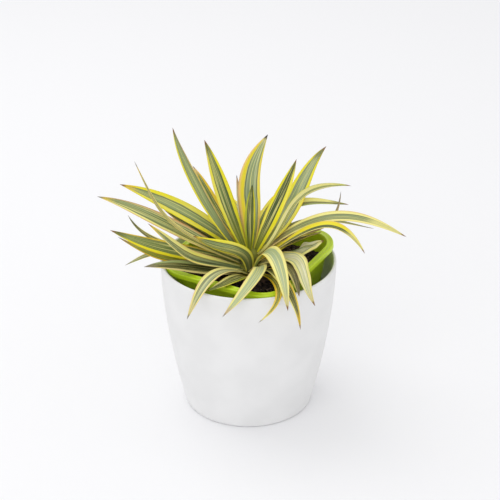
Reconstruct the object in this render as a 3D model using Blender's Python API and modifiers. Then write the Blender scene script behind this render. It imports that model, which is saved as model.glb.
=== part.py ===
"""A small variegated yucca in a green grow pot that stands in a white cover pot.

The origin is the centre of the cover pot's flat underside, +Z is up, and the
front of the plant faces -Y. Lengths are in metres. A heading is an angle in
degrees seen from above: 0 is +X (right), 90 is +Y (back), 270 is the front.
"""

import math
from dataclasses import dataclass

import bmesh
import bpy
from mathutils import Matrix, Vector

COLLECTION_NAME = "potted_yucca"
MM = 0.001
CLEARANCE = 0.3 * MM
MERGE_DISTANCE = 0.05 * MM

# Cover pot: a round, gently bulging white pot.
COVER_RIM_RADIUS = 75.0 * MM
COVER_HEIGHT = 135.0 * MM
COVER_BASE_RADIUS = 55.5 * MM
COVER_BULGE = 1.75
COVER_WALL = 2.6 * MM
COVER_FLOOR = 4.0 * MM
COVER_FOOT_ROUND = 2.5 * MM
COVER_FOOT_BELLY = 0.3   # how far the foot's round stays inside its corner
COVER_SIDE_STEPS = 9
COVER_SEGMENTS = 64

# Grow pot: a thin square nursery pot with a folded lip, leaning to the front and left.
GROW_HALF_SIDE = 59.3 * MM
GROW_CORNER = 25.6 * MM
GROW_BASE_HALF_SIDE = 32.5 * MM
GROW_BASE_CORNER = 10.0 * MM
GROW_HEIGHT = 133.8 * MM
GROW_WALL = 1.2 * MM
GROW_LIP_WIDTH = 4.9 * MM
GROW_LIP_DROP = 4.6 * MM
GROW_LIP_FLARE = 0.2 * MM
GROW_TURN = -31.0
GROW_LEAN_FRONT = 4.7
GROW_LEAN_LEFT = 2.5
GROW_BASE_CENTRE = (7.0 * MM, 12.6 * MM, 7.5 * MM)
CORNER_STEPS = 5

# Potting mix: fills the grow pot to below its rim.
MIX_DEPTH_BELOW_RIM = 16.0 * MM
MIX_GAP = 0.4 * MM

# Stem: a short stout trunk that ends in a dome, which the leaves sit on.
STEM_X = 2.0 * MM
STEM_Y = -5.0 * MM
STEM_FOOT_RADIUS = 11.0 * MM
STEM_NECK_RADIUS = 9.0 * MM
STEM_SIDE = 14.0 * MM
STEM_DOME = 9.0 * MM
STEM_SEGMENTS = 28
DOME_STEPS = 6

# Leaves: channelled sword blades.
LEAF_STATIONS = 13
LEAF_THICKNESS_SHARE = 0.0106
LEAF_LEAST_THICKNESS = 1.1 * MM
LEAF_BASE_SHARE = 0.42
LEAF_WIDEST_AT = 0.45
LEAF_TAPER = 2.0
SEAT_GAP = 0.4 * MM


@dataclass(frozen=True)
class Leaf:
    """One blade: where it leaves the stem, where its tip is and how it bends."""

    seat: float            # way up the stem's surface to its foot, mm
    root: float            # heading of its foot round the stem
    rise: float            # steepness where it leaves the stem, degrees
    heading: float         # heading of the tip from the stem
    reach: float           # tip's distance from the stem's axis, mm
    height: float          # tip's height above the pot's underside, mm
    dive: float            # steepness at the tip, degrees, below zero going down
    width: float           # widest part, mm
    pull: tuple = (0.33, 0.33)   # how far each end keeps its direction
    veer: float = 0.0      # turn of the start away from the root's heading
    turn: float = 0.0      # turn of the end away from the tip's heading
    roll: float = 0.0      # roll of the blade at its foot, degrees
    twist: float = 0.0     # further roll gained by the tip, degrees
    channel: float = 0.25  # depth of the channel as a share of half the width


# Leaves from the lowest to the innermost, the order in which they grew.
LEAVES = (
    Leaf(seat=2.0, root=250, rise=27, heading=239, reach=68, height=137, dive=-7,
         width=12, pull=(0.39, 0.34), veer=5, turn=-30, roll=-10),
    Leaf(seat=2.0, root=162, rise=19, heading=167, reach=112, height=118, dive=-35,
         width=6, pull=(0.59, 0.58), veer=8, turn=-39, roll=-20),
    Leaf(seat=3.5, root=313, rise=46, heading=293, reach=102, height=121, dive=-76,
         width=9, pull=(0.31, 0.3), veer=-6, turn=-5),
    Leaf(seat=3.0, root=286, rise=33, heading=274, reach=90, height=125, dive=-24,
         width=6, pull=(0.37, 0.52), veer=14, turn=-64),
    Leaf(seat=3.0, root=41, rise=28, heading=27, reach=85, height=150, dive=-24,
         width=11, pull=(0.39, 0.36), veer=-5, turn=13),
    Leaf(seat=3.0, root=128, rise=56, heading=122, reach=88, height=138, dive=-38,
         width=13, pull=(0.4, 0.33)),
    Leaf(seat=3.0, root=97, rise=64, heading=85, reach=94, height=130, dive=-80,
         width=12, pull=(0.4, 0.31), veer=-18, turn=1),
    Leaf(seat=5.5, root=248, rise=30, heading=239, reach=98, height=125, dive=-42,
         width=11, pull=(0.46, 0.38), veer=-29, turn=1),
    Leaf(seat=7.0, root=317, rise=33, heading=301, reach=77, height=136, dive=-20,
         width=10, pull=(0.55, 0.34), veer=22, turn=-24),
    Leaf(seat=4.5, root=209, rise=6, heading=205, reach=96, height=150, dive=3,
         width=13, pull=(0.31, 0.34), veer=-5, roll=-28),
    Leaf(seat=4.5, root=185, rise=14, heading=178, reach=112, height=156, dive=19,
         width=8, pull=(0.57, 0.6), veer=-8, turn=-25, roll=-15, twist=-15),
    Leaf(seat=8.0, root=278, rise=43, heading=256, reach=92, height=130, dive=-18,
         width=13.5, pull=(0.47, 0.32), veer=34, turn=-28, roll=-10),
    Leaf(seat=8.0, root=215, rise=18, heading=195, reach=87, height=181, dive=42,
         width=15, pull=(0.6, 0.57), veer=-24, turn=-21, roll=-10, twist=-20),
    Leaf(seat=8.6, root=173, rise=12, heading=186, reach=117, height=170, dive=25,
         width=14, pull=(0.48, 0.4), veer=6, turn=-8, roll=-30, twist=-18),
    Leaf(seat=7.0, root=150, rise=18, heading=169, reach=106, height=169, dive=33,
         width=9, pull=(0.26, 0.45), veer=7, turn=-46),
    Leaf(seat=11.0, root=333, rise=27, heading=305, reach=91, height=132, dive=-42,
         width=13, pull=(0.6, 0.36), veer=14, turn=5, roll=10),
    Leaf(seat=9.5, root=357, rise=5, heading=344, reach=64, height=163, dive=33,
         width=15, pull=(0.45, 0.47), veer=-6, turn=4, roll=25),
    Leaf(seat=9.0, root=106, rise=42, heading=102, reach=84, height=158, dive=-5,
         width=13),
    Leaf(seat=9.5, root=68, rise=44, heading=67, reach=88, height=156, dive=-10,
         width=12),
    Leaf(seat=11.0, root=138, rise=30, heading=143, reach=85, height=159, dive=-12,
         width=13, pull=(0.37, 0.38), veer=-5, turn=-11),
    Leaf(seat=12.0, root=290, rise=66, heading=290, reach=88, height=132, dive=-77,
         width=13.5, pull=(0.57, 0.43), veer=39, turn=3),
    Leaf(seat=11.5, root=36, rise=47, heading=18, reach=113, height=149, dive=-17,
         width=5, pull=(0.5, 0.39), veer=3, turn=-4),
    Leaf(seat=12.8, root=14, rise=39, heading=4, reach=61, height=161, dive=26,
         width=9, pull=(0.31, 0.32), veer=-28, turn=-7),
    Leaf(seat=14.5, root=20, rise=43, heading=9, reach=77, height=195, dive=79,
         width=4, pull=(0.46, 0.58), veer=10, turn=65, roll=60),
    Leaf(seat=9.0, root=265, rise=76, heading=195, reach=49, height=165, dive=25,
         width=14, pull=(0.51, 0.53), veer=8, turn=-35),
    Leaf(seat=13.0, root=161, rise=27, heading=158, reach=85, height=174, dive=28,
         width=11, roll=-20, twist=-15),
    Leaf(seat=14.5, root=333, rise=39, heading=343, reach=99, height=156, dive=-51,
         width=13, pull=(0.52, 0.55), veer=14, turn=-18, twist=12),
    Leaf(seat=13.6, root=191, rise=28, heading=173, reach=130, height=188, dive=17,
         width=13.5, pull=(0.45, 0.25), veer=-12, turn=16, roll=-32, twist=-20),
    Leaf(seat=16.5, root=213, rise=22, heading=172, reach=97, height=221, dive=68,
         width=7, pull=(0.6, 0.4), veer=-33, turn=5),
    Leaf(seat=15.0, root=39, rise=53, heading=27, reach=96, height=168, dive=-14,
         width=9, pull=(0.6, 0.42), veer=22, turn=-8),
    Leaf(seat=15.0, root=75, rise=46, heading=62, reach=80, height=176, dive=10,
         width=12, pull=(0.32, 0.33), veer=-2, turn=-9),
    Leaf(seat=16.5, root=9, rise=40, heading=357, reach=131, height=161, dive=-33,
         width=12, pull=(0.6, 0.3), veer=6, turn=20, roll=5, twist=12),
    Leaf(seat=17.5, root=152, rise=47, heading=166, reach=114, height=194, dive=24,
         width=17, pull=(0.26, 0.34), veer=24, turn=29, roll=-30, twist=-18),
    Leaf(seat=20.3, root=121, rise=46, heading=135, reach=70, height=202, dive=31,
         width=11, pull=(0.53, 0.42), veer=40, turn=-10, roll=-20),
    Leaf(seat=17.0, root=106, rise=52, heading=103, reach=52, height=193, dive=60,
         width=6),
    Leaf(seat=19.0, root=-19, rise=41, heading=26, reach=97, height=186, dive=-7,
         width=9, pull=(0.5, 0.6), veer=-28, turn=-27, roll=-12, twist=10),
    Leaf(seat=20.5, root=37, rise=39, heading=41, reach=87, height=217, dive=52,
         width=17, pull=(0.42, 0.42), veer=-40, turn=-60, roll=45),
    Leaf(seat=19.5, root=179, rise=49, heading=154, reach=72, height=244, dive=82,
         width=16, pull=(0.32, 0.27), veer=37, turn=18, roll=-38, twist=-20),
    Leaf(seat=22.5, root=83, rise=66, heading=72, reach=49, height=232, dive=51,
         width=19, pull=(0.47, 0.5), veer=-4, turn=-39),
    Leaf(seat=22.0, root=6, rise=67, heading=23, reach=42, height=222, dive=74,
         width=15, pull=(0.36, 0.32), veer=-7, turn=-11, roll=45),
    Leaf(seat=23.0, root=154, rise=64, heading=143, reach=48, height=234, dive=61,
         width=15, pull=(0.43, 0.28), veer=3, turn=-4, roll=-28, twist=-15),
    Leaf(seat=26.5, root=272, rise=86, heading=291, reach=5, height=208, dive=76,
         width=9, pull=(0.32, 0.33), veer=3, turn=-1),
)


def heading_vector(heading: float, steepness: float = 0.0) -> Vector:
    """Unit vector for a heading and a steepness, both in degrees."""
    turn = math.radians(heading)
    tilt = math.radians(steepness)
    flat = math.cos(tilt)
    return Vector((flat * math.cos(turn), flat * math.sin(turn), math.sin(tilt)))


def make_material(name: str, colour: tuple, roughness: float) -> bpy.types.Material:
    """Plain material with one Principled BSDF."""
    material = bpy.data.materials.new(name)
    material.use_nodes = True
    shader = material.node_tree.nodes["Principled BSDF"]
    shader.inputs["Base Color"].default_value = (*colour, 1.0)
    shader.inputs["Roughness"].default_value = roughness
    shader.inputs["Metallic"].default_value = 0.0
    return material


def link_object(name: str, mesh: bpy.types.Mesh, material: bpy.types.Material,
                collection: bpy.types.Collection) -> bpy.types.Object:
    """New object with one material in the part's collection."""
    piece = bpy.data.objects.new(name, mesh)
    piece.data.materials.append(material)
    collection.objects.link(piece)
    return piece


def turned_object(name: str, profile: list, segments: int,
                  material: bpy.types.Material,
                  collection: bpy.types.Collection) -> bpy.types.Object:
    """Solid turned about Z from a profile of (radius, height) points."""
    mesh = bpy.data.meshes.new(name)
    points = [(radius, 0.0, height) for radius, height in profile]
    edges = [(i, i + 1) for i in range(len(points) - 1)]
    mesh.from_pydata(points, edges, [])
    piece = link_object(name, mesh, material, collection)
    screw = piece.modifiers.new("turn", "SCREW")
    screw.steps = segments
    screw.render_steps = segments
    screw.use_merge_vertices = True
    screw.merge_threshold = MERGE_DISTANCE
    screw.use_smooth_shade = True
    return piece


def cover_radius(height: float) -> float:
    """Outer radius of the cover pot at a height: it bulges below the rim."""
    share = height / COVER_HEIGHT
    spread = 1.0 - (1.0 - share) ** COVER_BULGE
    return COVER_BASE_RADIUS + (COVER_RIM_RADIUS - COVER_BASE_RADIUS) * spread


def cover_profile() -> list:
    """Closed section of the cover pot, from the floor's centre round to the underside's."""
    inner = [(0.0, COVER_FLOOR)]
    for step in range(COVER_SIDE_STEPS):
        share = step / (COVER_SIDE_STEPS - 1)
        height = COVER_FLOOR + (COVER_HEIGHT - COVER_WALL / 2 - COVER_FLOOR) * share
        inner.append((cover_radius(height) - COVER_WALL, height))
    lip = [(COVER_RIM_RADIUS - COVER_WALL / 2, COVER_HEIGHT)]
    outer = []
    for step in range(COVER_SIDE_STEPS):
        share = 1.0 - step / (COVER_SIDE_STEPS - 1)
        top = COVER_HEIGHT - COVER_WALL / 2
        height = COVER_FOOT_ROUND + (top - COVER_FOOT_ROUND) * share
        outer.append((cover_radius(height), height))
    belly = COVER_FOOT_BELLY * COVER_FOOT_ROUND
    foot = [
        (COVER_BASE_RADIUS - belly, belly),
        (COVER_BASE_RADIUS - COVER_FOOT_ROUND, 0.0),
        (0.0, 0.0),
    ]
    return inner + lip + outer + foot


def rounded_square(half_side: float, corner: float) -> list:
    """Outline of a square with round corners, anticlockwise from +X."""
    points = []
    centre = half_side - corner
    for quarter in range(4):
        middle = Vector((centre, centre)).to_3d()
        middle.rotate(Matrix.Rotation(quarter * math.pi / 2, 3, "Z"))
        for step in range(CORNER_STEPS + 1):
            angle = (quarter + step / CORNER_STEPS) * math.pi / 2
            points.append((middle.x + corner * math.cos(angle),
                           middle.y + corner * math.sin(angle)))
    return points


def grow_rings() -> list:
    """(height, half side, corner radius) of the grow pot's sections, base to lip.

    The skin is the body's outer face, then the underside and the inner face of
    the lip that is folded outwards and down; the wall is added on its other side.
    """
    under = GROW_HEIGHT - GROW_WALL
    fold = GROW_HALF_SIDE - GROW_WALL - GROW_LIP_FLARE
    fold_corner = GROW_CORNER - GROW_WALL - GROW_LIP_FLARE
    return [
        (0.0, GROW_BASE_HALF_SIDE, GROW_BASE_CORNER),
        (under, GROW_HALF_SIDE - GROW_LIP_WIDTH, GROW_CORNER - GROW_LIP_WIDTH),
        (under, fold, fold_corner),
        (GROW_HEIGHT - GROW_LIP_DROP, fold + GROW_LIP_FLARE, fold_corner + GROW_LIP_FLARE),
    ]


def body_section(height: float) -> tuple:
    """Half side and corner radius of the grow pot's body at a height."""
    base, top = grow_rings()[:2]
    share = height / top[0]
    return (base[1] + (top[1] - base[1]) * share,
            base[2] + (top[2] - base[2]) * share)


def loft(rings: list, capped: bool) -> bmesh.types.BMesh:
    """Skin through rounded-square rings, closed below and, if capped, on top."""
    form = bmesh.new()
    rows = []
    for height, half_side, corner in rings:
        outline = rounded_square(half_side, corner)
        rows.append([form.verts.new((x, y, height)) for x, y in outline])
    for low, high in zip(rows, rows[1:]):
        count = len(low)
        for i in range(count):
            j = (i + 1) % count
            form.faces.new((low[i], low[j], high[j], high[i]))
    form.faces.new(list(reversed(rows[0])))
    if capped:
        form.faces.new(rows[-1])
    return form


def grow_pot(material: bpy.types.Material, collection: bpy.types.Collection,
             seat: bpy.types.Object) -> bpy.types.Object:
    """Thin square pot: an open skin given its wall by Solidify."""
    mesh = bpy.data.meshes.new("grow_pot")
    form = loft(grow_rings(), capped=False)
    form.to_mesh(mesh)
    form.free()
    piece = link_object("grow_pot", mesh, material, collection)
    wall = piece.modifiers.new("wall", "SOLIDIFY")
    wall.thickness = GROW_WALL
    wall.offset = -1.0
    wall.use_even_offset = True
    piece.parent = seat
    return piece


def potting_mix(material: bpy.types.Material, collection: bpy.types.Collection,
                seat: bpy.types.Object) -> bpy.types.Object:
    """Block of potting mix inside the grow pot, clear of its wall."""
    inset = GROW_WALL + MIX_GAP
    floor = GROW_WALL + MIX_GAP
    level = GROW_HEIGHT - MIX_DEPTH_BELOW_RIM
    rings = []
    for height in (floor, level):
        half_side, corner = body_section(height)
        rings.append((height, half_side - inset, corner - inset))
    form = loft(rings, capped=True)
    mesh = bpy.data.meshes.new("potting_mix")
    form.to_mesh(mesh)
    form.free()
    piece = link_object("potting_mix", mesh, material, collection)
    piece.parent = seat
    return piece


def lean_matrix() -> Matrix:
    """The lean of the grow pot, the mix and the stem."""
    front = Matrix.Rotation(math.radians(GROW_LEAN_FRONT), 4, "X")
    left = Matrix.Rotation(math.radians(-GROW_LEAN_LEFT), 4, "Y")
    return front @ left


def stem_matrix() -> Matrix:
    """Place of the stem's foot, just clear of the leaning surface of the mix."""
    lean = lean_matrix()
    up = lean.col[2].to_3d()
    level = GROW_HEIGHT - MIX_DEPTH_BELOW_RIM
    on_mix = Vector(GROW_BASE_CENTRE) + up * level
    slope = up.x * (STEM_X - on_mix.x) + up.y * (STEM_Y - on_mix.y)
    height = on_mix.z - slope / up.z
    foot = Vector((STEM_X, STEM_Y, height)) + up * CLEARANCE
    return Matrix.Translation(foot) @ lean


def stem_profile() -> list:
    """Stem section from the top of the dome down to the flat foot."""
    points = []
    for step in range(DOME_STEPS + 1):
        angle = math.pi / 2 * (1.0 - step / DOME_STEPS)
        points.append((STEM_NECK_RADIUS * math.cos(angle),
                       STEM_SIDE + STEM_DOME * math.sin(angle)))
    points[0] = (0.0, STEM_SIDE + STEM_DOME)
    points.append((STEM_FOOT_RADIUS, 0.0))
    points.append((0.0, 0.0))
    return points


def seat_on_stem(travel: float) -> tuple:
    """Radius, height and steepness of the stem's surface, a way up from its foot."""
    side = math.hypot(STEM_SIDE, STEM_FOOT_RADIUS - STEM_NECK_RADIUS)
    if travel < side:
        part = travel / side
        radius = STEM_FOOT_RADIUS + (STEM_NECK_RADIUS - STEM_FOOT_RADIUS) * part
        return radius, STEM_SIDE * part, 0.0
    angle = (travel - side) / STEM_DOME
    return (STEM_NECK_RADIUS * math.cos(angle),
            STEM_SIDE + STEM_DOME * math.sin(angle),
            math.degrees(angle))


def bezier(points: list, t: float) -> Vector:
    """Point at t on the cubic curve of four control points."""
    a, b, c, d = points
    s = 1.0 - t
    return a * s ** 3 + b * 3 * s * s * t + c * 3 * s * t * t + d * t ** 3


def blade_share(along: float) -> float:
    """Width of a blade as a share of its widest, at a share of its length."""
    if along < LEAF_WIDEST_AT:
        part = along / LEAF_WIDEST_AT
        swell = math.sin(math.pi / 2 * part)
        return LEAF_BASE_SHARE + (1.0 - LEAF_BASE_SHARE) * swell
    part = (along - LEAF_WIDEST_AT) / (1.0 - LEAF_WIDEST_AT)
    return 1.0 - part ** LEAF_TAPER


def stem_distance(point: Vector) -> float:
    """How far a point lies outside the stem's surface, below zero inside it."""
    local = stem_matrix().inverted() @ point
    radius = math.hypot(local.x, local.y)
    if local.z > STEM_SIDE:
        return math.hypot(radius, local.z - STEM_SIDE) - STEM_DOME
    part = local.z / STEM_SIDE
    return radius - STEM_FOOT_RADIUS - (STEM_NECK_RADIUS - STEM_FOOT_RADIUS) * part


def leaf_midline(leaf: Leaf, gap: float) -> list:
    """Four control points of the midline of a leaf whose foot is a gap off the stem."""
    stem = stem_matrix()
    radius, height, slope = seat_on_stem(leaf.seat * MM)
    outward = heading_vector(leaf.root, slope)
    foot = Vector((radius * math.cos(math.radians(leaf.root)),
                   radius * math.sin(math.radians(leaf.root)), height))
    start = stem @ (foot + outward * gap)
    axis = stem @ Vector((0.0, 0.0, STEM_SIDE))
    tip = Vector((axis.x, axis.y, 0.0)) + heading_vector(leaf.heading) * leaf.reach * MM
    tip.z = leaf.height * MM
    chord = (tip - start).length
    rise = heading_vector(leaf.root + leaf.veer, leaf.rise)
    dive = heading_vector(leaf.heading + leaf.turn, leaf.dive)
    return [start, start + rise * chord * leaf.pull[0],
            tip - dive * chord * leaf.pull[1], tip]


def stations_at_gap(leaf: Leaf, count: int, gap: float) -> list:
    """(point, side, upper face's normal, share of the length) along a leaf."""
    control = leaf_midline(leaf, gap)
    points = [bezier(control, i / (count - 1)) for i in range(count)]
    lengths = [0.0]
    for a, b in zip(points, points[1:]):
        lengths.append(lengths[-1] + (b - a).length)
    start = math.radians(leaf.root + leaf.veer)
    side = Vector((-math.sin(start), math.cos(start), 0.0))
    stations = []
    for i, point in enumerate(points):
        ahead = points[min(i + 1, count - 1)] - points[max(i - 1, 0)]
        ahead.normalize()
        side = (side - ahead * side.dot(ahead)).normalized()
        along = lengths[i] / lengths[-1]
        roll = Matrix.Rotation(math.radians(leaf.roll + leaf.twist * along), 3, ahead)
        across = roll @ side
        stations.append((point, across, ahead.cross(across), along))
    return stations


def leaf_thickness(stations: list) -> float:
    """Thickness of a blade, from its length along the midline."""
    length = sum((b[0] - a[0]).length for a, b in zip(stations, stations[1:]))
    return max(LEAF_LEAST_THICKNESS, LEAF_THICKNESS_SHARE * length)


def leaf_stations(leaf: Leaf, count: int) -> list:
    """Stations of a leaf whose foot just clears the stem at its nearest corner."""
    stations = stations_at_gap(leaf, count, 0.0)
    point, across, upper, along = stations[0]
    half = 0.5 * leaf.width * MM * blade_share(along)
    skin = 0.5 * leaf_thickness(stations)
    nearest = min(stem_distance(point + across * half * side
                                + upper * (half * leaf.channel * abs(side) + skin * face))
                  for side in (-1, 0, 1) for face in (-1, 1))
    return stations_at_gap(leaf, count, SEAT_GAP - nearest)


def leaf_object(name: str, leaf: Leaf, material: bpy.types.Material,
                collection: bpy.types.Collection) -> bpy.types.Object:
    """Blade as an open channelled strip that Solidify makes a closed body."""
    stations = leaf_stations(leaf, LEAF_STATIONS)
    form = bmesh.new()
    rows = []
    for point, across, upper, along in stations[:-1]:
        half = 0.5 * leaf.width * MM * blade_share(along)
        lift = upper * half * leaf.channel
        rows.append([form.verts.new(point - across * half + lift),
                     form.verts.new(point),
                     form.verts.new(point + across * half + lift)])
    tip = form.verts.new(stations[-1][0])
    for low, high in zip(rows, rows[1:]):
        form.faces.new((low[0], low[1], high[1], high[0]))
        form.faces.new((low[1], low[2], high[2], high[1]))
    form.faces.new((rows[-1][0], rows[-1][1], tip))
    form.faces.new((rows[-1][1], rows[-1][2], tip))
    mesh = bpy.data.meshes.new(name)
    form.to_mesh(mesh)
    form.free()
    piece = link_object(name, mesh, material, collection)
    blade = piece.modifiers.new("blade", "SOLIDIFY")
    blade.thickness = leaf_thickness(stations)
    blade.offset = 0.0
    return piece


def main() -> None:
    """Build the two pots, the potting mix, the stem and every leaf."""
    for piece in list(bpy.data.objects):
        bpy.data.objects.remove(piece, do_unlink=True)
    collection = bpy.data.collections.new(COLLECTION_NAME)
    bpy.context.scene.collection.children.link(collection)

    white = make_material("white_satin_plastic", (0.83, 0.84, 0.86), 0.35)
    green = make_material("green_pot_plastic", (0.26, 0.52, 0.02), 0.4)
    peat = make_material("dark_peat", (0.02, 0.013, 0.01), 0.95)
    bark = make_material("pale_stem", (0.25, 0.22, 0.08), 0.8)
    blade = make_material("yellow_green_blade", (0.42, 0.46, 0.12), 0.45)

    turned_object("cover_pot", cover_profile(), COVER_SEGMENTS, white, collection)

    seat = bpy.data.objects.new("grow_pot_seat", None)
    collection.objects.link(seat)
    turn = Matrix.Rotation(math.radians(GROW_TURN), 4, "Z")
    seat.matrix_world = Matrix.Translation(GROW_BASE_CENTRE) @ lean_matrix() @ turn
    grow_pot(green, collection, seat)
    potting_mix(peat, collection, seat)

    stem = turned_object("stem", stem_profile(), STEM_SEGMENTS, bark, collection)
    stem.matrix_world = stem_matrix()

    for number, leaf in enumerate(LEAVES, start=1):
        leaf_object(f"leaf_{number:02d}", leaf, blade, collection)


main()
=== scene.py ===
"""Dressed model of a young variegated yucca in its green grow pot and white cover pot.

The frame's origin is the centre of the cover pot's flat underside, +Z is up and the
front of the plant faces -Y. Lengths are in metres, but in millimetres in a leaf's row.
A heading is an angle in degrees seen from above: 0 is +X, 90 the back and 270 the front.
"""

import logging
import math
import random
from dataclasses import dataclass
from enum import Enum

import bmesh
import bpy
from mathutils import Matrix, Vector, noise


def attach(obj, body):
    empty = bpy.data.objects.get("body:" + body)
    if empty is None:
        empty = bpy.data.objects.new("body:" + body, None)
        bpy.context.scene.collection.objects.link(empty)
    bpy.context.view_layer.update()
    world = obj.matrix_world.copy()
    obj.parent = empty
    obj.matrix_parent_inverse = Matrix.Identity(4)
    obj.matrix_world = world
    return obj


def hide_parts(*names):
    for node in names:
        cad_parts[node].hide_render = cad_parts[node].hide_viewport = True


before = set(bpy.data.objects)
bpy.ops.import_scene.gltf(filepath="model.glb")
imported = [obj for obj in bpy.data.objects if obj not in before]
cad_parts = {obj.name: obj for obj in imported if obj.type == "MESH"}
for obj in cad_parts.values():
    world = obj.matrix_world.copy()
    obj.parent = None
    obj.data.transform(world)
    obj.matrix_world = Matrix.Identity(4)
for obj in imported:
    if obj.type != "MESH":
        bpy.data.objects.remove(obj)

LOG = logging.getLogger("potted_yucca")
MM = 0.001
BODY = "root"


def linear(colour: tuple) -> tuple:
    """Scene colour of an 8-bit screen colour.

    Args:
        colour: Red, green and blue from 0 to 255.

    Returns:
        Red, green, blue and alpha, linear, from 0 to 1.
    """
    channels = []
    for channel in colour:
        share = channel / 255
        if share <= 0.04045:
            channels.append(share / 12.92)
        else:
            channels.append(((share + 0.055) / 1.055) ** 2.4)
    return (*channels, 1.0)


class Tint(Enum):
    """Colours of the plant, as 8-bit screen values."""

    LEMON = (248, 234, 16)
    GOLD = (244, 202, 34)
    LIME = (178, 186, 44)
    CREAM = (250, 240, 150)
    IVORY = (244, 240, 208)
    STRAW = (226, 208, 136)
    PEACH = (244, 200, 138)
    SALMON = (226, 150, 92)
    ROSE = (198, 158, 128)
    MIST = (184, 196, 160)
    SAGE = (160, 175, 120)
    FERN = (122, 144, 74)
    MOSS = (84, 104, 40)
    OLIVE = (92, 92, 36)
    FOREST = (44, 58, 20)
    BRONZE = (138, 92, 46)
    ASH = (134, 124, 104)
    SOOT = (44, 34, 26)


class Graph:
    """A node tree with short calls for the nodes that the finishes use."""

    def __init__(self, tree: bpy.types.NodeTree) -> None:
        """Wraps a node tree."""
        self.tree = tree

    def feed(self, socket: bpy.types.NodeSocket, value: object) -> None:
        """Links a socket to an input, or sets the input's own value.

        Args:
            socket: The input.
            value: An output socket, a tint, or a number or colour.
        """
        if isinstance(value, bpy.types.NodeSocket):
            self.tree.links.new(value, socket)
        elif isinstance(value, Tint):
            socket.default_value = linear(value.value)
        else:
            socket.default_value = value

    def node(self, kind: str, feeds: dict | None = None, **settings: object) -> bpy.types.Node:
        """Adds a node.

        Args:
            kind: Blender's name of the node type.
            feeds: What its inputs get, by the input's name or number.
            **settings: Properties to set on it.

        Returns:
            The new node.
        """
        made = self.tree.nodes.new(kind)
        for name, value in settings.items():
            setattr(made, name, value)
        for label, value in (feeds or {}).items():
            self.feed(made.inputs[label], value)
        return made

    def math(self, operation: str, a: object, b: object = 0.0) -> bpy.types.NodeSocket:
        """Result of a Math node on two sockets or numbers."""
        return self.node("ShaderNodeMath", {0: a, 1: b}, operation=operation).outputs[0]

    def times(self, a: object, b: object) -> bpy.types.NodeSocket:
        """Product of two sockets or numbers."""
        return self.math("MULTIPLY", a, b)

    def mix(self, share: object, a: object, b: object) -> bpy.types.NodeSocket:
        """Colour a blended towards colour b by a share."""
        return self.node("ShaderNodeMix", {0: share, 6: a, 7: b}, data_type="RGBA").outputs[2]

    def coats(self, base: object, *coats: tuple) -> object:
        """Lays colours over a base.

        Args:
            base: The colour below.
            *coats: The mask and the colour of each coat, the lowest first.

        Returns:
            The colour on top.
        """
        for mask, colour in coats:
            base = self.mix(mask, base, colour)
        return base

    def ramp(self, value: object, low: object, high: object,
             start: float = 0.0, end: float = 1.0) -> bpy.types.NodeSocket:
        """Eases a value.

        Args:
            value: The value.
            low: Where it starts to count.
            high: Where it stops.
            start: Result up to the low end.
            end: Result from the high end on.

        Returns:
            The eased value.
        """
        feeds = {"Value": value, "From Min": low, "From Max": high,
                 "To Min": start, "To Max": end}
        made = self.node("ShaderNodeMapRange", feeds, interpolation_type="SMOOTHSTEP")
        return made.outputs[0]

    def vector(self, x: object, y: object, z: object) -> bpy.types.NodeSocket:
        """A vector of three sockets or numbers."""
        return self.node("ShaderNodeCombineXYZ", {0: x, 1: y, 2: z}).outputs[0]

    def cloud(self, place: object, scale: object = 1.0,
              detail: float = 2.0) -> bpy.types.NodeSocket:
        """Noise from 0 to 1 at a place."""
        feeds = {"Vector": place, "Scale": scale, "Detail": detail}
        return self.node("ShaderNodeTexNoise", feeds).outputs[0]


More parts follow.
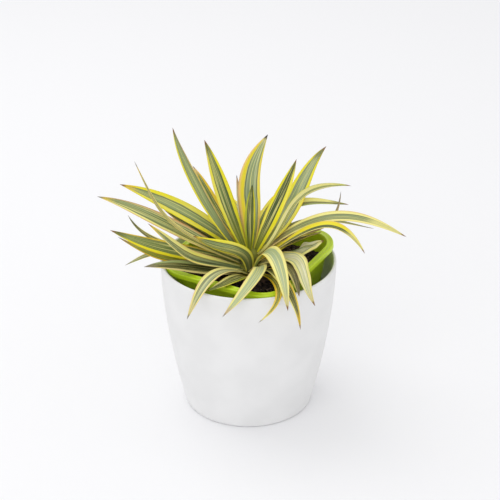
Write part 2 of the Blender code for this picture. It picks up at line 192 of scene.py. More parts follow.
@dataclass
class Effects:
    """The shader node groups that the finishes share, each built once."""

    streak_range: tuple = (0.32, 0.68)
    margin_sway: float = 0.12
    margin_pace: tuple = (2.0, 5.0)
    softness: float = 0.025
    seam_shift: float = 0.035
    seam_width: float = 0.04
    edge_end: float = 0.49
    end_sway: float = 0.08
    end_pace: tuple = (7.0, 1.0)
    foot_start: float = 0.02
    tip_fade: float = 0.09
    needle_range: tuple = (0.945, 0.975)
    cloud_range: tuple = (0.3, 0.7)
    grain_detail: float = 3.0

    def __post_init__(self) -> None:
        """Builds every group."""
        self.streaks = self.build_streaks()
        self.margins = self.build_margins()
        self.ends = self.build_ends()
        self.grain = self.build_grain()

    @staticmethod
    def group(name: str, inputs: tuple, outputs: tuple) -> tuple:
        """Starts a group.

        Args:
            name: The group's name.
            inputs: Names of its number inputs.
            outputs: Names of its number outputs.

        Returns:
            The graph inside it, the sockets of its inputs by name, and the inputs of its
            output node.
        """
        tree = bpy.data.node_groups.new(name, "ShaderNodeTree")
        for direction, labels in (("INPUT", inputs), ("OUTPUT", outputs)):
            for label in labels:
                tree.interface.new_socket(label, in_out=direction,
                                          socket_type="NodeSocketFloat")
        graph = Graph(tree)
        entry = graph.node("NodeGroupInput")
        leave = graph.node("NodeGroupOutput")
        return graph, {label: entry.outputs[label] for label in inputs}, leave.inputs

    @staticmethod
    def swayed(graph: Graph, get: dict, label: str, pace: tuple,
               amount: float) -> bpy.types.NodeSocket:
        """One of a blade's coordinates, swaying to and fro.

        Args:
            graph: The group's graph.
            get: Its inputs.
            label: The coordinate, Across or Along.
            pace: How fast it sways across and along the blade.
            amount: How far it sways.

        Returns:
            The coordinate's socket.
        """
        sway = graph.cloud(graph.vector(graph.times(get["Across"], pace[0]),
                                        graph.times(get["Along"], pace[1]), get["Seed"]))
        return graph.math("ADD", get[label],
                          graph.times(graph.math("SUBTRACT", sway, 0.5), amount))

    def build_streaks(self) -> bpy.types.NodeTree:
        """Group of fine lines that run along a blade."""
        graph, get, put = self.group(
            "blade_streaks", ("Across", "Along", "Count", "Length", "Seed"), ("Streak",))
        place = graph.vector(graph.times(get["Across"], get["Count"]),
                             graph.times(get["Along"], get["Length"]), get["Seed"])
        graph.feed(put["Streak"], graph.ramp(graph.cloud(place), *self.streak_range))
        return graph.tree

    def build_margins(self) -> bpy.types.NodeTree:
        """Group of masks for a blade's two margins, the seam beside them and its edge."""
        graph, get, put = self.group(
            "blade_margins",
            ("Across", "Along", "Low share", "High share", "Edge share", "Seed"),
            ("Low", "High", "Seam", "Edge"))
        across = self.swayed(graph, get, "Across", self.margin_pace, self.margin_sway)
        seams = []
        for side, inward in (("Low", across), ("High", graph.math("SUBTRACT", 1.0, across))):
            share = get[f"{side} share"]
            inner = graph.math("SUBTRACT", share, self.softness)
            outer = graph.math("ADD", share, self.softness)
            graph.feed(put[side], graph.ramp(inward, inner, outer, 1.0, 0.0))
            beside = graph.math("SUBTRACT", inward, graph.math("ADD", share, self.seam_shift))
            seams.append(graph.ramp(graph.math("ABSOLUTE", beside), 0.0, self.seam_width,
                                    1.0, 0.0))
        graph.feed(put["Seam"], graph.math("MAXIMUM", *seams))
        offset = graph.math("ABSOLUTE", graph.math("SUBTRACT", get["Across"], 0.5))
        graph.feed(put["Edge"], graph.ramp(
            offset, graph.math("SUBTRACT", 0.5, get["Edge share"]), self.edge_end))
        return graph.tree

    def build_ends(self) -> bpy.types.NodeTree:
        """Group of masks for a blade's foot, its coloured tip and its dry needle."""
        graph, get, put = self.group(
            "blade_ends", ("Across", "Along", "Tip start", "Foot end", "Seed"),
            ("Foot", "Tip", "Needle"))
        along = self.swayed(graph, get, "Along", self.end_pace, self.end_sway)
        graph.feed(put["Foot"], graph.ramp(along, self.foot_start, get["Foot end"], 1.0, 0.0))
        graph.feed(put["Tip"], graph.ramp(along, get["Tip start"],
                                          graph.math("ADD", get["Tip start"], self.tip_fade)))
        graph.feed(put["Needle"], graph.ramp(along, *self.needle_range))
        return graph.tree

    def build_grain(self) -> bpy.types.NodeTree:
        """Group of fine moulded grain with slow cloudiness, from the object's own place."""
        graph, get, put = self.group("moulded_grain", ("Fineness", "Cloud size"),
                                     ("Grain", "Cloud"))
        place = graph.node("ShaderNodeTexCoord").outputs["Object"]
        graph.feed(put["Grain"], graph.cloud(place, get["Fineness"], self.grain_detail))
        graph.feed(put["Cloud"],
                   graph.ramp(graph.cloud(place, get["Cloud size"]), *self.cloud_range))
        return graph.tree


def start_material(name: str) -> tuple:
    """New material.

    Args:
        name: The material's name.

    Returns:
        The material, its graph and its Principled BSDF.
    """
    material = bpy.data.materials.new(name)
    material.use_nodes = True
    shader = material.node_tree.nodes["Principled BSDF"]
    return material, Graph(material.node_tree), shader


def add_bump(graph: Graph, shader: bpy.types.Node, height: bpy.types.NodeSocket,
             strength: float, depth: float) -> None:
    """Feeds a shader's normal from a height.

    Args:
        graph: The material's graph.
        shader: Its Principled BSDF.
        height: The height's socket.
        strength: Strength of the bump.
        depth: Depth of the relief.
    """
    feeds = {"Strength": strength, "Distance": depth, "Height": height}
    graph.feed(shader.inputs["Normal"], graph.node("ShaderNodeBump", feeds).outputs["Normal"])


@dataclass(frozen=True)
class Grained:
    """Two colours in soft clouds under a fine grain."""

    name: str
    colour: tuple
    shade: tuple
    roughness: float
    spread: float
    cloud: float
    fineness: float
    strength: float
    relief: float
    grain_range: tuple = (0.2, 0.8)

    def material(self, effects: Effects) -> bpy.types.Material:
        """The finish as a material.

        Args:
            effects: The shared node groups.

        Returns:
            The new material.
        """
        material, graph, shader = start_material(self.name)
        grain = graph.node("ShaderNodeGroup",
                           {"Fineness": self.fineness, "Cloud size": self.cloud},
                           node_tree=effects.grain).outputs
        graph.feed(shader.inputs["Base Color"],
                   graph.mix(grain["Cloud"], linear(self.colour), linear(self.shade)))
        rough = self.roughness
        if self.spread:
            rough = graph.ramp(grain["Grain"], *self.grain_range, rough - self.spread,
                               rough + self.spread)
        graph.feed(shader.inputs["Roughness"], rough)
        add_bump(graph, shader, grain["Grain"], self.strength, self.relief)
        return material


@dataclass(frozen=True)
class Plastic(Grained):
    """Moulded plastic: slight cloudiness and a fine grain."""

    spread: float = 0.05
    cloud: float = 30.0
    fineness: float = 1400.0
    strength: float = 0.4
    relief: float = 0.03 * MM


@dataclass(frozen=True)
class Crumb(Grained):
    """Dry or moist organic crumb: blotches and a rough relief."""

    roughness: float = 0.92
    spread: float = 0.0
    cloud: float = 260.0
    fineness: float = 1100.0
    strength: float = 0.8
    relief: float = 0.5 * MM


@dataclass(frozen=True)
class Streak:
    """Lines along a blade: how many fit across it, how often they change and their seed."""

    count: float
    length: float
    seed: float


@dataclass(frozen=True)
class Dress:
    """Colours of one blade, whose low and high margins are the right and the left one, seen
    from its foot."""

    centre: Tint = Tint.SAGE
    streak: Tint = Tint.MOSS
    low: Tint = Tint.LEMON
    high: Tint = Tint.LEMON
    low_share: float = 0.2
    high_share: float = 0.2
    edge_share: float = 0.045
    seam: Tint = Tint.FOREST
    edge: Tint = Tint.GOLD
    wash: Tint = Tint.CREAM
    tip: Tint = Tint.OLIVE
    needle: Tint = Tint.BRONZE
    foot: Tint = Tint.LIME
    tip_start: float = 0.84
    foot_end: float = 0.3
    streaking: float = 0.7
    seam_depth: float = 0.7
    thread_depth: float = 0.28
    pale_depth: float = 0.65
    wash_depth: float = 0.4
    # Share of painted shade laid over the blade's foot, where it sits among the other feet.
    painted_foot_shade: float = 0.6
    foot_tint: float = 0.35
    wash_range: tuple = (0.3, 1.0)
    wear_range: tuple = (0.2, 0.8)
    pale_range: tuple = (0.5, 1.0)
    wear: tuple = (0.25, 0.95)
    tip_cover: tuple = (0.75, 0.45)
    roughness: tuple = (0.42, 0.56)
    bump: float = 0.5
    relief: float = 0.15 * MM
    lines: Streak = Streak(11.0, 1.1, 0.0)
    threads: Streak = Streak(28.0, 2.0, 31.0)
    pale_lines: Streak = Streak(21.0, 1.4, 73.0)
    bands: Streak = Streak(4.0, 1.6, 57.0)
    margin_seed: float = 11.0
    end_seed: float = 23.0

    def material(self, name: str, seed: float, effects: Effects) -> bpy.types.Material:
        """The finish as a material.

        Args:
            name: The material's name.
            seed: Number that sets this blade's own pattern.
            effects: The shared node groups.

        Returns:
            The new material.
        """
        material, graph, shader = start_material(name)
        spot = {}
        for label in ("Across", "Along"):
            source = graph.node("ShaderNodeAttribute", attribute_name=label.lower())
            spot[label] = source.outputs["Fac"]

        def place(tree: bpy.types.NodeTree, shift: float, feeds: dict) -> object:
            """Outputs of a group fed with the blade's own coordinates."""
            return graph.node("ShaderNodeGroup", {**spot, "Seed": seed + shift, **feeds},
                              node_tree=tree).outputs

        lines, threads, pale, bands = (
            place(effects.streaks, kind.seed, {"Count": kind.count, "Length": kind.length})[0]
            for kind in (self.lines, self.threads, self.pale_lines, self.bands))
        margin = place(effects.margins, self.margin_seed,
                       {"Low share": self.low_share, "High share": self.high_share,
                        "Edge share": self.edge_share})
        end = place(effects.ends, self.end_seed,
                    {"Tip start": self.tip_start, "Foot end": self.foot_end})

        threaded = graph.times(threads, self.thread_depth)
        washed = graph.ramp(bands, *self.wash_range, 0.0, self.wash_depth)
        worn = graph.times(margin["Edge"], graph.ramp(bands, *self.wear_range, *self.wear))
        tipped = graph.times(end["Tip"], graph.ramp(threads, 0.0, 1.0, *self.tip_cover))
        low, high = (graph.coats(tint, (washed, self.wash), (threaded, Tint.LIME))
                     for tint in (self.low, self.high))
        colour = graph.coats(
            self.centre,
            (graph.times(lines, self.streaking), self.streak),
            (threaded, self.seam),
            (graph.ramp(pale, *self.pale_range, 0.0, self.pale_depth), Tint.CREAM),
            # Painted shade: the foot is darkened towards the seam colour before its own tint
            # goes on.
            (graph.times(end["Foot"], self.painted_foot_shade), self.seam),
            (margin["Low"], low),
            (margin["High"], high),
            (graph.times(margin["Seam"], self.seam_depth), self.seam),
            (worn, self.edge),
            (graph.times(end["Foot"], self.foot_tint), self.foot),
            (tipped, self.tip),
            (end["Needle"], self.needle))
        graph.feed(shader.inputs["Base Color"], colour)
        graph.feed(shader.inputs["Roughness"], graph.ramp(threads, 0.0, 1.0, *self.roughness))
        add_bump(graph, shader, graph.math("ADD", lines, threads), self.bump, self.relief)
        return material


@dataclass(frozen=True)
class Leaf:
    """One blade: where it leaves the stem, where its tip is, how it bends and its colours."""

    seat: float
    root: float
    rise: float
    heading: float
    reach: float
    height: float
    dive: float
    width: float
    pull: tuple = (0.33, 0.33)
    veer: float = 0.0
    turn: float = 0.0
    roll: float = 0.0
    twist: float = 0.0
    channel: float = 0.25
    crumple: float = 0.0
    dress: Dress = Dress()


INNER = Dress(centre=Tint.FERN, streak=Tint.FOREST, streaking=0.6, foot_end=0.45)
SPEAR = Dress(centre=Tint.MOSS, streak=Tint.FOREST, low=Tint.LIME, high=Tint.LEMON,
              low_share=0.16, high_share=0.17, edge=Tint.LIME, wash=Tint.LIME,
              tip=Tint.FOREST, needle=Tint.FOREST)
BACK = Dress(centre=Tint.FERN, streak=Tint.MOSS, tip=Tint.GOLD)
PALE = Dress(centre=Tint.MIST, streak=Tint.SAGE, low=Tint.CREAM, high=Tint.CREAM,
             edge=Tint.PEACH, tip=Tint.ROSE, needle=Tint.ASH, seam=Tint.SAGE, foot=Tint.CREAM,
             seam_depth=0.3)
THIN = Dress(centre=Tint.OLIVE, streak=Tint.SAGE, low_share=0.14, high_share=0.1,
             low=Tint.STRAW, high=Tint.LIME, needle=Tint.ASH)
DARK = Dress(centre=Tint.FOREST, streak=Tint.OLIVE, low=Tint.LIME, high=Tint.ROSE,
             low_share=0.14, high_share=0.14, foot=Tint.OLIVE, tip=Tint.ROSE)
WITHERED = Dress(centre=Tint.IVORY, streak=Tint.SAGE, low=Tint.CREAM, high=Tint.CREAM,
                 edge=Tint.PEACH, wash=Tint.IVORY, tip=Tint.STRAW, needle=Tint.BRONZE,
                 seam=Tint.FERN, foot=Tint.STRAW, streaking=0.4, seam_depth=0.6)

LEAVES = (
    Leaf(seat=2.0, root=250, rise=27, heading=239, reach=68, height=137, dive=-7,
         width=12, pull=(0.39, 0.34), veer=5, turn=-30, roll=-10,
         dress=Dress(centre=Tint.MOSS, streak=Tint.FOREST, low=Tint.CREAM, high=Tint.LIME,
                     tip=Tint.FERN, foot=Tint.GOLD, streaking=0.8)),
    Leaf(seat=2.0, root=162, rise=19, heading=167, reach=112, height=118, dive=-35,
         width=6, pull=(0.59, 0.58), veer=8, turn=-39, roll=-20,
         dress=THIN),
    Leaf(seat=3.5, root=313, rise=46, heading=293, reach=102, height=121, dive=-76,
         width=9, pull=(0.31, 0.3), veer=-6, turn=-5,
         dress=Dress(centre=Tint.OLIVE, streak=Tint.FOREST, low=Tint.CREAM, high=Tint.GOLD,
                     tip=Tint.GOLD, edge=Tint.CREAM, foot=Tint.OLIVE)),
    Leaf(seat=3.0, root=286, rise=33, heading=274, reach=90, height=125, dive=-24,
         width=6, pull=(0.37, 0.52), veer=14, turn=-64,
         dress=Dress(centre=Tint.OLIVE, streak=Tint.LIME, low=Tint.GOLD, high=Tint.GOLD,
                     low_share=0.3, high_share=0.25, tip=Tint.CREAM, needle=Tint.ASH)),
    Leaf(seat=3.0, root=41, rise=28, heading=27, reach=85, height=150, dive=-24,
         width=11, pull=(0.39, 0.36), veer=-5, turn=13,
         dress=BACK),
    Leaf(seat=3.0, root=128, rise=56, heading=122, reach=88, height=138, dive=-38,
         width=13, pull=(0.4, 0.33),
         dress=PALE),
    Leaf(seat=3.0, root=97, rise=64, heading=85, reach=94, height=130, dive=-80,
         width=12, pull=(0.4, 0.31), veer=-18, turn=1,
         dress=BACK),
    Leaf(seat=5.5, root=248, rise=30, heading=239, reach=98, height=125, dive=-42,
         width=11, pull=(0.46, 0.38), veer=-29, turn=1,
         dress=Dress(centre=Tint.MIST, streak=Tint.OLIVE, low=Tint.CREAM, high=Tint.CREAM,
                     low_share=0.24, high_share=0.2, edge_share=0.12, edge=Tint.PEACH,
                     wash=Tint.STRAW, seam=Tint.OLIVE, tip=Tint.STRAW, needle=Tint.ASH,
                     tip_start=0.8, foot=Tint.CREAM)),
    Leaf(seat=7.0, root=317, rise=33, heading=301, reach=77, height=136, dive=-20,
         width=10, pull=(0.55, 0.34), veer=22, turn=-24,
         dress=Dress(centre=Tint.ASH, streak=Tint.OLIVE, low=Tint.STRAW, high=Tint.OLIVE,
                     edge=Tint.ASH, tip=Tint.ASH, foot=Tint.OLIVE)),
    Leaf(seat=4.5, root=209, rise=6, heading=205, reach=96, height=150, dive=3,
         width=13, pull=(0.31, 0.34), veer=-5, roll=-28,
         dress=Dress(centre=Tint.OLIVE, streak=Tint.FOREST, low=Tint.SAGE, high=Tint.STRAW,
                     edge=Tint.ROSE, tip=Tint.ASH, needle=Tint.ASH, foot=Tint.FOREST,
                     low_share=0.22, high_share=0.2, streaking=0.8)),
    Leaf(seat=4.5, root=185, rise=14, heading=178, reach=112, height=156, dive=19,
         width=8, pull=(0.57, 0.6), veer=-8, turn=-25, roll=-15, twist=-15,
         dress=Dress(centre=Tint.LIME, streak=Tint.OLIVE, low=Tint.GOLD, high=Tint.GOLD,
                     edge=Tint.BRONZE, wash=Tint.GOLD, tip=Tint.BRONZE, needle=Tint.SOOT,
                     seam=Tint.OLIVE)),
    Leaf(seat=8.0, root=278, rise=43, heading=256, reach=92, height=130, dive=-18,
         width=13.5, pull=(0.47, 0.32), veer=34, turn=-28, roll=-10,
         dress=PALE),
    Leaf(seat=8.0, root=215, rise=18, heading=195, reach=87, height=181, dive=42,
         width=15, pull=(0.6, 0.57), veer=-24, turn=-21, roll=-10, twist=-20,
         dress=Dress(centre=Tint.SAGE, streak=Tint.FOREST, low=Tint.CREAM, high=Tint.CREAM,
                     low_share=0.28, high_share=0.18, edge_share=0.09, edge=Tint.SALMON,
                     wash=Tint.LEMON, tip=Tint.GOLD, needle=Tint.BRONZE, foot=Tint.FERN,
                     streaking=0.85)),
    Leaf(seat=8.6, root=173, rise=12, heading=186, reach=117, height=170, dive=25,
         width=14, pull=(0.48, 0.4), veer=6, turn=-8, roll=-30, twist=-18,
         dress=Dress(centre=Tint.FERN, streak=Tint.MOSS, low_share=0.1, high_share=0.22,
                     low=Tint.GOLD, edge=Tint.GOLD, tip=Tint.OLIVE, streaking=0.4)),
    Leaf(seat=7.0, root=150, rise=18, heading=169, reach=106, height=169, dive=33,
         width=9, pull=(0.26, 0.45), veer=7, turn=-46,
         dress=Dress(centre=Tint.FOREST, streak=Tint.OLIVE, low=Tint.CREAM, high=Tint.OLIVE,
                     edge=Tint.CREAM, tip=Tint.OLIVE, needle=Tint.ASH, low_share=0.15)),
    Leaf(seat=11.0, root=333, rise=27, heading=305, reach=91, height=132, dive=-42,
         width=13, pull=(0.6, 0.36), veer=14, turn=5, roll=10, crumple=0.9,
         dress=WITHERED),
    Leaf(seat=9.5, root=357, rise=5, heading=344, reach=64, height=163, dive=33,
         width=15, pull=(0.45, 0.47), veer=-6, turn=4, roll=25, crumple=2,
         dress=Dress(centre=Tint.IVORY, streak=Tint.FERN, low=Tint.CREAM, high=Tint.IVORY,
                     edge=Tint.BRONZE, wash=Tint.IVORY, tip=Tint.CREAM, needle=Tint.BRONZE,
                     seam=Tint.MOSS, foot=Tint.STRAW, streaking=0.85, seam_depth=0.6)),
    Leaf(seat=9.0, root=106, rise=42, heading=102, reach=84, height=158, dive=-5,
         width=13,
         dress=BACK),
    Leaf(seat=9.5, root=68, rise=44, heading=67, reach=88, height=156, dive=-10,
         width=12,
         dress=PALE),
    Leaf(seat=11.0, root=138, rise=30, heading=143, reach=85, height=159, dive=-12,
         width=13, pull=(0.37, 0.38), veer=-5, turn=-11,
         dress=BACK),
    Leaf(seat=12.0, root=290, rise=66, heading=290, reach=88, height=132, dive=-77,
         width=13.5, pull=(0.57, 0.43), veer=39, turn=3,
         dress=Dress(centre=Tint.MIST, streak=Tint.SAGE, low=Tint.CREAM, high=Tint.CREAM,
                     edge=Tint.GOLD, seam=Tint.FERN, tip=Tint.STRAW, needle=Tint.BRONZE,
                     seam_depth=0.3)),
    Leaf(seat=11.5, root=36, rise=47, heading=18, reach=113, height=149, dive=-17,
         width=5, pull=(0.5, 0.39), veer=3, turn=-4,
         dress=THIN),
    Leaf(seat=12.8, root=14, rise=39, heading=4, reach=61, height=161, dive=26,
         width=9, pull=(0.31, 0.32), veer=-28, turn=-7, crumple=0.6,
         dress=DARK),
    Leaf(seat=14.5, root=20, rise=43, heading=9, reach=77, height=195, dive=79,
         width=4, pull=(0.46, 0.58), veer=10, turn=65, roll=60,
         dress=Dress(centre=Tint.ASH, streak=Tint.ROSE, low=Tint.ROSE, high=Tint.ASH,
                     edge=Tint.PEACH, tip=Tint.ASH, needle=Tint.SOOT, foot=Tint.STRAW)),
    Leaf(seat=9.0, root=265, rise=76, heading=195, reach=49, height=165, dive=25,
         width=14, pull=(0.51, 0.53), veer=8, turn=-35,
         dress=Dress(centre=Tint.SAGE, streak=Tint.MOSS, low_share=0.14, high_share=0.16,
                     foot=Tint.OLIVE, tip=Tint.GOLD, edge=Tint.LEMON, foot_end=0.55)),
    Leaf(seat=13.0, root=161, rise=27, heading=158, reach=85, height=174, dive=28,
         width=11, roll=-20, twist=-15,
         dress=DARK),
    Leaf(seat=14.5, root=333, rise=39, heading=343, reach=99, height=156, dive=-51,
         width=13, pull=(0.52, 0.55), veer=14, turn=-18, twist=12,
         dress=Dress(centre=Tint.MOSS, streak=Tint.FOREST, low=Tint.CREAM, high=Tint.LEMON,
                     low_share=0.12, high_share=0.4, edge_share=0.07, edge=Tint.PEACH,
                     wash=Tint.GOLD, tip=Tint.CREAM, foot=Tint.GOLD, tip_start=0.74,
                     streaking=0.6)),
    Leaf(seat=13.6, root=191, rise=28, heading=173, reach=130, height=188, dive=17,
         width=13.5, pull=(0.45, 0.25), veer=-12, turn=16, roll=-32, twist=-20,
         dress=Dress(centre=Tint.SAGE, streak=Tint.MOSS, low=Tint.ROSE, high=Tint.CREAM,
                     low_share=0.14, high_share=0.2, edge_share=0.07, edge=Tint.SALMON,
                     tip=Tint.GOLD, tip_start=0.86, needle=Tint.ASH, foot=Tint.MOSS)),
    Leaf(seat=16.5, root=213, rise=22, heading=172, reach=97, height=221, dive=68,
         width=7, pull=(0.6, 0.4), veer=-33, turn=5,
         dress=Dress(centre=Tint.STRAW, streak=Tint.OLIVE, low=Tint.CREAM, high=Tint.LIME,
                     edge=Tint.PEACH, tip=Tint.GOLD, needle=Tint.ASH, foot=Tint.PEACH)),
    Leaf(seat=15.0, root=39, rise=53, heading=27, reach=96, height=168, dive=-14,
         width=9, pull=(0.6, 0.42), veer=22, turn=-8,
         dress=Dress(centre=Tint.OLIVE, streak=Tint.SAGE, low=Tint.SAGE, high=Tint.CREAM,
                     high_share=0.5, edge=Tint.LIME, wash=Tint.LEMON, tip=Tint.OLIVE,
                     tip_start=0.8, foot=Tint.CREAM)),
    Leaf(seat=15.0, root=75, rise=46, heading=62, reach=80, height=176, dive=10,
         width=12, pull=(0.32, 0.33), veer=-2, turn=-9,
         dress=BACK),
    Leaf(seat=16.5, root=9, rise=40, heading=357, reach=131, height=161, dive=-33,
         width=12, pull=(0.6, 0.3), veer=6, turn=20, roll=5, twist=12,
         dress=Dress(centre=Tint.SAGE, streak=Tint.OLIVE, low=Tint.CREAM, high=Tint.CREAM,
                     low_share=0.22, high_share=0.24, edge_share=0.13, edge=Tint.PEACH,
                     wash=Tint.PEACH, tip=Tint.CREAM, foot=Tint.PEACH, tip_start=0.7)),
    Leaf(seat=17.5, root=152, rise=47, heading=166, reach=114, height=194, dive=24,
         width=17, pull=(0.26, 0.34), veer=24, turn=29, roll=-30, twist=-18,
         dress=Dress(centre=Tint.SAGE, streak=Tint.FERN, low_share=0.24, high_share=0.26,
                     tip=Tint.GOLD, edge=Tint.LEMON)),
    Leaf(seat=20.3, root=121, rise=46, heading=135, reach=70, height=202, dive=31,
         width=11, pull=(0.53, 0.42), veer=40, turn=-10, roll=-20,
         dress=Dress(centre=Tint.FERN, streak=Tint.OLIVE, low=Tint.GOLD, high=Tint.GOLD,
                     low_share=0.28, high_share=0.3, edge=Tint.SALMON, tip=Tint.PEACH)),
    Leaf(seat=17.0, root=106, rise=52, heading=103, reach=52, height=193, dive=60,
         width=6,
         dress=Dress(centre=Tint.ROSE, streak=Tint.SAGE, low=Tint.PEACH, high=Tint.IVORY,
                     edge=Tint.ROSE, tip=Tint.ROSE, needle=Tint.SOOT, seam=Tint.ROSE)),
    Leaf(seat=19.0, root=-19, rise=41, heading=26, reach=97, height=186, dive=-7,
         width=9, pull=(0.5, 0.6), veer=-28, turn=-27, roll=-12, twist=10,
         dress=Dress(centre=Tint.SAGE, streak=Tint.LIME, low=Tint.CREAM, high=Tint.CREAM,
                     low_share=0.36, high_share=0.34, edge=Tint.LIME, wash=Tint.IVORY,
                     seam=Tint.OLIVE, tip=Tint.LIME, tip_start=0.86, foot=Tint.CREAM,
                     seam_depth=0.5)),
    Leaf(seat=20.5, root=37, rise=39, heading=41, reach=87, height=217, dive=52,
         width=17, pull=(0.42, 0.42), veer=-40, turn=-60, roll=45,
         dress=Dress(centre=Tint.MIST, streak=Tint.FERN, low_share=0.2, high_share=0.16,
                     tip=Tint.OLIVE, seam_depth=0.6)),
    Leaf(seat=19.5, root=179, rise=49, heading=154, reach=72, height=244, dive=82,
         width=16, pull=(0.32, 0.27), veer=37, turn=18, roll=-38, twist=-20,
         dress=Dress(centre=Tint.SAGE, streak=Tint.FERN, low=Tint.ROSE, high=Tint.LEMON,
                     low_share=0.09, high_share=0.24, edge=Tint.LEMON, tip=Tint.BRONZE,
                     tip_start=0.9, foot=Tint.OLIVE, streaking=0.45, foot_end=0.35)),
    Leaf(seat=22.5, root=83, rise=66, heading=72, reach=49, height=232, dive=51,
         width=19, pull=(0.47, 0.5), veer=-4, turn=-39,
         dress=Dress(centre=Tint.MIST, streak=Tint.FERN, low=Tint.LEMON, high=Tint.LEMON,
                     low_share=0.13, high_share=0.26, edge_share=0.17, edge=Tint.PEACH,
                     wash=Tint.GOLD, tip=Tint.STRAW, tip_start=0.88, needle=Tint.SOOT)),
    Leaf(seat=22.0, root=6, rise=67, heading=23, reach=42, height=222, dive=74,
         width=15, pull=(0.36, 0.32), veer=-7, turn=-11, roll=45,
         dress=Dress(centre=Tint.MOSS, streak=Tint.FOREST, low_share=0.3, high_share=0.16,
                     tip=Tint.OLIVE, streaking=0.7)),
    Leaf(seat=23.0, root=154, rise=64, heading=143, reach=48, height=234, dive=61,
         width=15, pull=(0.43, 0.28), veer=3, turn=-4, roll=-28, twist=-15,
         dress=INNER),
    Leaf(seat=26.5, root=272, rise=86, heading=291, reach=5, height=208, dive=76,
         width=9, pull=(0.32, 0.33), veer=3, turn=-1,
         dress=SPEAR),
)


def heading_vector(heading: float, steepness: float = 0.0) -> Vector:
    """Unit vector of a heading.

    Args:
        heading: The heading in degrees.
        steepness: Its angle above the level, in degrees.

    Returns:
        The vector.
    """
    turn = math.radians(heading)
    tilt = math.radians(steepness)
    flat = math.cos(tilt)
    return Vector((flat * math.cos(turn), flat * math.sin(turn), math.sin(tilt)))


def bezier(points: list, t: float) -> Vector:
    """Point on a cubic curve.

    Args:
        points: Its four control points.
        t: Where on it, from 0 to 1.

    Returns:
        The point.
    """
    a, b, c, d = points
    s = 1.0 - t
    return a * s ** 3 + b * 3 * s * s * t + c * 3 * s * t * t + d * t ** 3


def add_piece(name: str, form: bmesh.types.BMesh, material: bpy.types.Material,
              node: str) -> None:
    """Makes a smooth-shaded piece that rides on the part's body in place of a node.

    Args:
        name: The piece's name.
        form: Its closed mesh, which is freed.
        material: Its material.
        node: The node that it stands for.
    """
    bmesh.ops.recalc_face_normals(form, faces=form.faces)
    mesh = bpy.data.meshes.new(name)
    form.to_mesh(mesh)
    form.free()
    mesh.shade_smooth()
    mesh.materials.append(material)
    piece = bpy.data.objects.new(name, mesh)
    bpy.context.scene.collection.objects.link(piece)
    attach(piece, BODY)
    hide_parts(node)
    LOG.info("%s: %d faces", name, len(mesh.polygons))


def join_rings(form: bmesh.types.BMesh, rings: list) -> None:
    """Faces between neighbouring rings of vertices.

    Args:
        form: The mesh.
        rings: Closed rings, each of the same number of vertices.
    """
    for low, high in zip(rings, rings[1:]):
        for i, vert in enumerate(low):
            j = (i + 1) % len(low)
            form.faces.new((vert, low[j], high[j], high[i]))


def close_ring(form: bmesh.types.BMesh, ring: list, centre: tuple) -> None:
    """Closes a ring of vertices with triangles round a new one.

    Args:
        form: The mesh.
        ring: The vertices.
        centre: Place of the new vertex.
    """
    middle = form.verts.new(centre)
    for i, vert in enumerate(ring):
        form.faces.new((vert, ring[(i + 1) % len(ring)], middle))


@dataclass
class CoverPot:
    """The round white cover pot, turned from one section."""

    rim_radius: float = 75.0 * MM
    height: float = 135.0 * MM
    base_radius: float = 55.5 * MM
    bulge: float = 1.75
    wall: float = 2.6 * MM
    floor: float = 4.0 * MM
    foot_round: float = 2.5 * MM
    side_steps: int = 34
    round_steps: int = 6
    segments: int = 168
    finish: Plastic = Plastic("white_satin_plastic", (237, 237, 237), (232, 232, 232), 0.46)

    def radius(self, height: float) -> float:
        """Outer radius at a height: the side bulges below the rim."""
        spread = 1.0 - (1.0 - height / self.height) ** self.bulge
        return self.base_radius + (self.rim_radius - self.base_radius) * spread

    def profile(self) -> list:
        """Section from the floor's centre over the rim to the underside's centre.

        Returns:
            (radius, height) points.
        """
        lip = self.wall / 2
        top = self.height - lip
        points = [(0.0, self.floor), (self.base_radius / 2, self.floor)]
        for step in range(self.side_steps + 1):
            height = self.floor + (top - self.floor) * step / self.side_steps
            points.append((self.radius(height) - self.wall, height))
        middle = self.radius(top) - lip
        for step in range(1, self.round_steps * 2):
            angle = math.pi * (1.0 - step / (self.round_steps * 2))
            points.append((middle + lip * math.cos(angle), top + lip * math.sin(angle)))
        for step in range(self.side_steps + 1):
            height = top + (self.foot_round - top) * step / self.side_steps
            points.append((self.radius(height), height))
        foot = self.radius(self.foot_round) - self.foot_round
        for step in range(1, self.round_steps + 1):
            angle = math.pi / 2 * step / self.round_steps
            points.append((foot + self.foot_round * math.cos(angle),
                           self.foot_round * (1.0 - math.sin(angle))))
        return points + [(self.base_radius / 2, 0.0), (0.0, 0.0)]

    def build(self, effects: Effects) -> None:
        """Builds the pot.

        Args:
            effects: The shared node groups.
        """
        form = bmesh.new()
        turns = [2 * math.pi * step / self.segments for step in range(self.segments)]
        inner, *section, outer = self.profile()
        rings = [[form.verts.new((radius * math.cos(turn), radius * math.sin(turn), height))
                  for turn in turns] for radius, height in section]
        join_rings(form, rings)
        close_ring(form, rings[0], (0.0, 0.0, inner[1]))
        close_ring(form, rings[-1], (0.0, 0.0, outer[1]))
        add_piece("cover_pot_shell", form, self.finish.material(effects),
                  "cover_pot")


@dataclass(frozen=True)
class Litter:
    """Loose bits on the mix.

    A bit has a radius in millimetres, is up to a stretch longer, has a width and a height as
    shares of the radius, and lies tilted (in radians) and risen by a share of it.
    """

    name: str
    finish: Crumb
    count: int
    radii: tuple
    stretch: float
    seed: int
    width: tuple = (0.7, 1.0)
    height: tuple = (0.5, 0.9)
    tilt: float = 0.5
    rise: float = 0.6
    jag: tuple = (0.75, 1.15)


